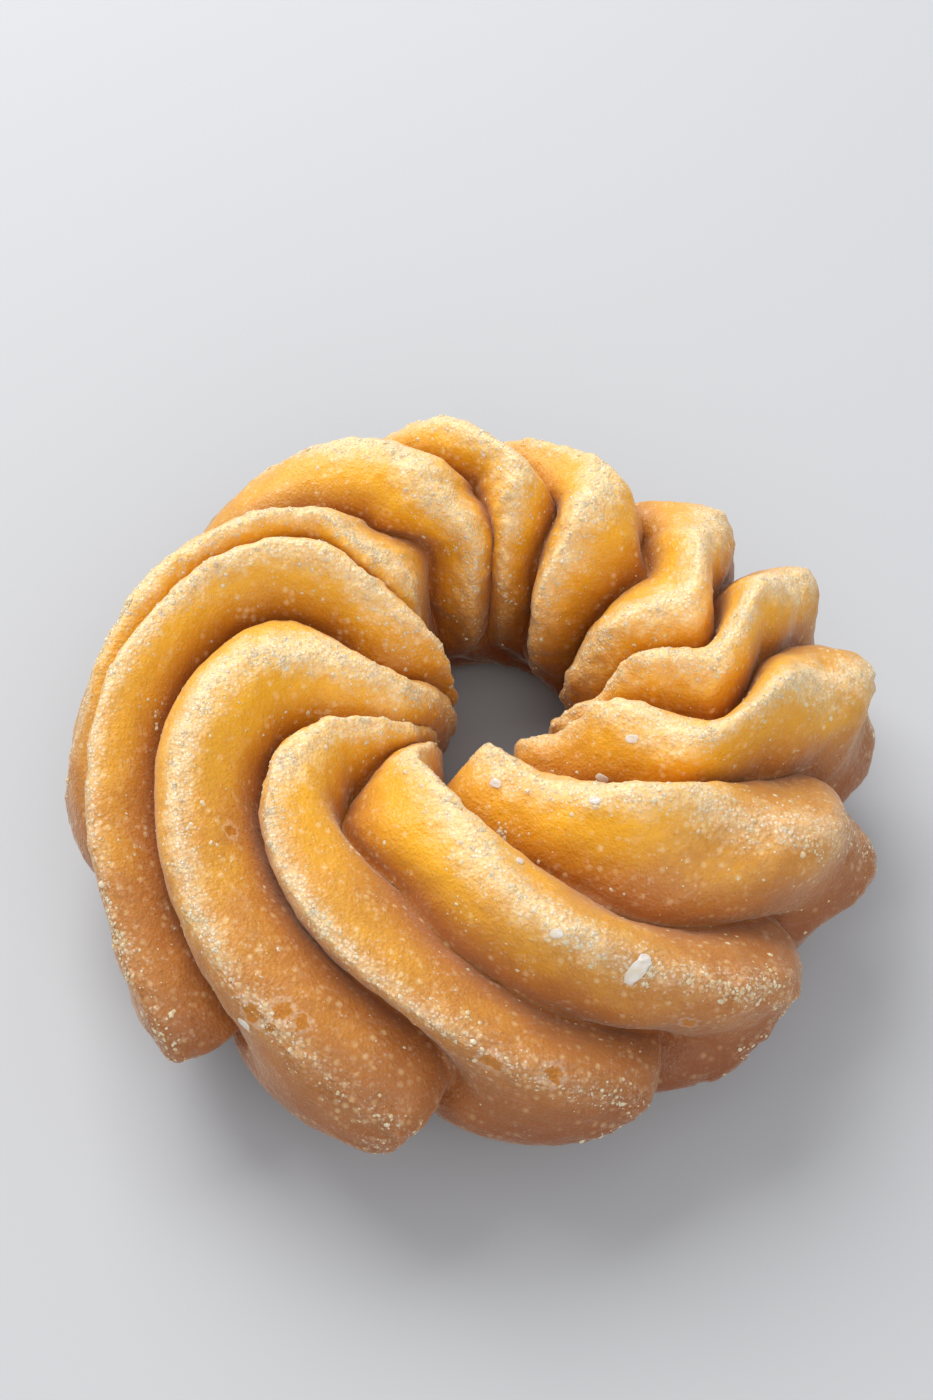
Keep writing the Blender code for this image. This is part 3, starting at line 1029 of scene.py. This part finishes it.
@dataclass(frozen=True)
class SugarGrains:
    """Small grains stuck in the glaze, closest together on the frosted crests."""

    name: str = "sugar_grains"
    finish: DriedSugar = DriedSugar("sugar_crystal")
    count: int = 9000
    size: float = 0.15 * MM
    size_spread: float = 0.42
    biggest: float = 0.36 * MM
    flatness: float = 0.60
    roughness: float = 0.18
    sunk: float = 0.95
    on_crest: float = 1.2
    on_sugared: float = 0.9
    elsewhere: float = 0.02
    at_the_foot: float = 0.04
    crowd_size: float = 3.5 * MM
    crowding: float = 2.2
    seed: int = 11

    def build(self, ring: Object) -> Object:
        """Strew the grains over the ring."""
        dice = np.random.default_rng(self.seed)
        bed = Bed.of(ring)
        places, normals = bed.choose(self.weight(bed), self.count, dice)
        size = np.minimum(self.size * np.exp(dice.normal(0.0, self.size_spread, self.count)), self.biggest)
        sizes = size[:, None] * dice.uniform(0.75, 1.25, (self.count, 3)) * [1.0, 1.0, self.flatness]
        places = places + normals * (size * (0.5 - self.sunk) * self.flatness)[:, None]
        axes = Strewn.axes(normals, dice.uniform(0, 2 * np.pi, self.count))
        grains = Strewn.piece(self.name, Strewn.seed_shape(1), places, axes, sizes, self.roughness, dice)
        grains.data.materials.append(self.finish.material())
        return grains

    def weight(self, bed: Bed) -> Array:
        """How close the grains lie on each triangle: none under the ring, in its hole or in a bubble."""
        measures = bed.measures
        shown = ease((bed.normals[:, 2] + 0.75) / 0.5) * (1 - measures[Part.HOLE]) * (1 - measures[Part.PIT])
        frosted = self.on_crest * measures[Part.CREST] ** 3 + self.on_sugared * measures[Part.SUGARED] ** 2
        high = self.at_the_foot + ease(measures[Part.HEIGHT] / 0.9)
        return shown * (self.elsewhere + frosted) * high * self.patchiness(bed)

    def patchiness(self, bed: Bed) -> Array:
        """Crowded in some places of the skin and few in others."""
        middles = bed.corners.mean(1)
        cloud = np.array([noise.noise(Vector(p) / self.crowd_size) for p in middles])
        return np.exp(self.crowding * cloud)


@dataclass(frozen=True)
class GlazeFlakes:
    """Flat flakes of dried glaze: a big one lies across the second front ridge, the others are scattered."""

    name: str = "glaze_flakes"
    finish: DriedSugar = DriedSugar("glaze_flake", white=(1.0, 0.93, 0.84, 1.0), thin=(0.98, 0.84, 0.66, 1.0))
    flakes: tuple[Flake, ...] = FLAKES
    thickness: float = 0.10 * MM
    lift: float = 0.03 * MM
    roundness: float = 0.75
    ragged_by: float = 0.22
    tooth_size: float = 0.6 * MM
    seed: int = 23

    def build(self, ring: Object, skin: FriedRing) -> Object:
        """Lay the flakes on the finished ring, at the places of its skin that its maker knows."""
        dice = np.random.default_rng(self.seed)
        rows = [self.lie(ring, skin, flake) for flake in self.flakes]
        places = np.array([place for place, _ in rows])
        normals = np.array([normal for _, normal in rows])
        sizes = np.array([[f.length * MM / 2, f.width * MM / 2, self.thickness] for f in self.flakes])
        axes = Strewn.axes(normals, np.radians([flake.turn for flake in self.flakes]))
        shape = Strewn.seed_shape(4, self.roundness)
        flakes = Strewn.piece(self.name, shape, places, axes, sizes, 0.0, dice)
        self.drape(flakes, ring, places, normals)
        flakes.data.materials.append(self.finish.material())
        return flakes

    def drape(self, flakes: Object, ring: Object, places: Array, normals: Array) -> None:
        """Let the flakes at these places and normals follow the skin, and make their edges ragged."""
        points = FriedRing.read(flakes.data)
        own = np.arange(len(points)) // (len(points) // len(places))
        up = ((points - places[own]) * normals[own]).sum(1)
        feet = points - up[:, None] * normals[own]
        for index, foot in enumerate(feet):
            ragged = self.ragged_by * noise.noise(Vector(foot) / self.tooth_size)
            foot = foot + (foot - places[own[index]]) * ragged
            _, place, normal, _ = ring.closest_point_on_mesh(Vector(foot))
            points[index] = place + normal * (up[index] + self.lift)
        FriedRing.write(flakes.data, points)

    @staticmethod
    def lie(ring: Object, skin: FriedRing, flake: Flake) -> tuple[Array, Array]:
        """The nearest point of the finished ring to a flake's place on its skin, and the normal there."""
        wanted = Vector(skin.point_at(flake.line, flake.angle))
        _, place, normal, _ = ring.closest_point_on_mesh(wanted)
        return np.array(place), np.array(normal)


@dataclass(frozen=True)
class SoftLight:
    """A square soft light that faces the doughnut: its place and side in metres and its power in watts."""

    name: str
    place: tuple[float, float, float]
    size: float
    power: float
    tint: tuple[float, float, float]

    def hang(self) -> None:
        """Hang the light in its place."""
        bpy.ops.object.light_add(type="AREA", location=self.place)
        light = newest(self.name)
        light.data.size = self.size
        light.data.energy = self.power
        light.data.color = self.tint
        light.rotation_euler = (-Vector(self.place)).to_track_quat("-Z", "Y").to_euler()


@dataclass(frozen=True)
class Studio:
    """The floor, the soft lights and the camera."""

    window: SoftLight = SoftLight("window", (-0.29, 0.50, 0.58), 0.62, 7.5, (1.0, 0.985, 0.96))
    fill: SoftLight = SoftLight("fill", (0.15, -0.58, 0.48), 0.70, 2.5, (1.0, 0.99, 0.98))
    room: Colour = (0.93, 0.95, 1.0, 1.0)
    room_strength: float = 0.50
    floor_size: float = 4.0
    aim: tuple[float, float, float] = (-1.5 * MM, 19.3 * MM, 0.0)
    elevation: float = 51.6
    distance: float = 220.0 * MM
    lens: float = 45.8
    nearest_seen: float = 0.01

    def lay_floor(self) -> None:
        """A wide plain floor just under the doughnut."""
        deselect_all()
        place = (0.0, 0.0, CAD_BOX[0].z - CLEARANCE)
        bpy.ops.mesh.primitive_plane_add(size=self.floor_size, location=place)
        floor = newest("floor")
        floor.data.materials.append(PaleFloor().material())

    def light(self) -> None:
        """A soft window behind on the left, a weaker fill and a bright room."""
        self.window.hang()
        self.fill.hang()
        world = bpy.data.worlds.new("bright_room")
        world.use_nodes = True
        sky = world.node_tree.nodes["Background"]
        sky.inputs["Color"].default_value = self.room
        sky.inputs["Strength"].default_value = self.room_strength
        bpy.context.scene.world = world
        bpy.context.scene.view_settings.view_transform = "Standard"

    def place_camera(self) -> None:
        """Look down on the doughnut from the front."""
        tilt = math.radians(self.elevation)
        back = Vector((0.0, -math.cos(tilt), math.sin(tilt))) * self.distance
        bpy.ops.object.camera_add(location=Vector(self.aim) + back, rotation=(math.pi / 2 - tilt, 0.0, 0.0))
        camera = newest("camera")
        camera.data.lens = self.lens
        camera.data.clip_start = self.nearest_seen
        bpy.context.scene.camera = camera


def finish_piece(piece: Object) -> None:
    """Let a piece ride on its body and report it."""
    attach(piece, BODY)
    LOG.info("%s: %d faces", piece.name, len(piece.data.polygons))


def main() -> None:
    """Build the doughnut and its studio, and report each piece."""
    logging.basicConfig(level=logging.INFO, format="%(message)s")
    skin = FriedRing(Twist())
    ring = skin.build()
    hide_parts(NODE)
    finish_piece(ring)
    finish_piece(SugarGrains().build(ring))
    finish_piece(GlazeFlakes().build(ring, skin))
    studio = Studio()
    studio.lay_floor()
    studio.light()
    studio.place_camera()


if __name__ == "__main__":
    main()
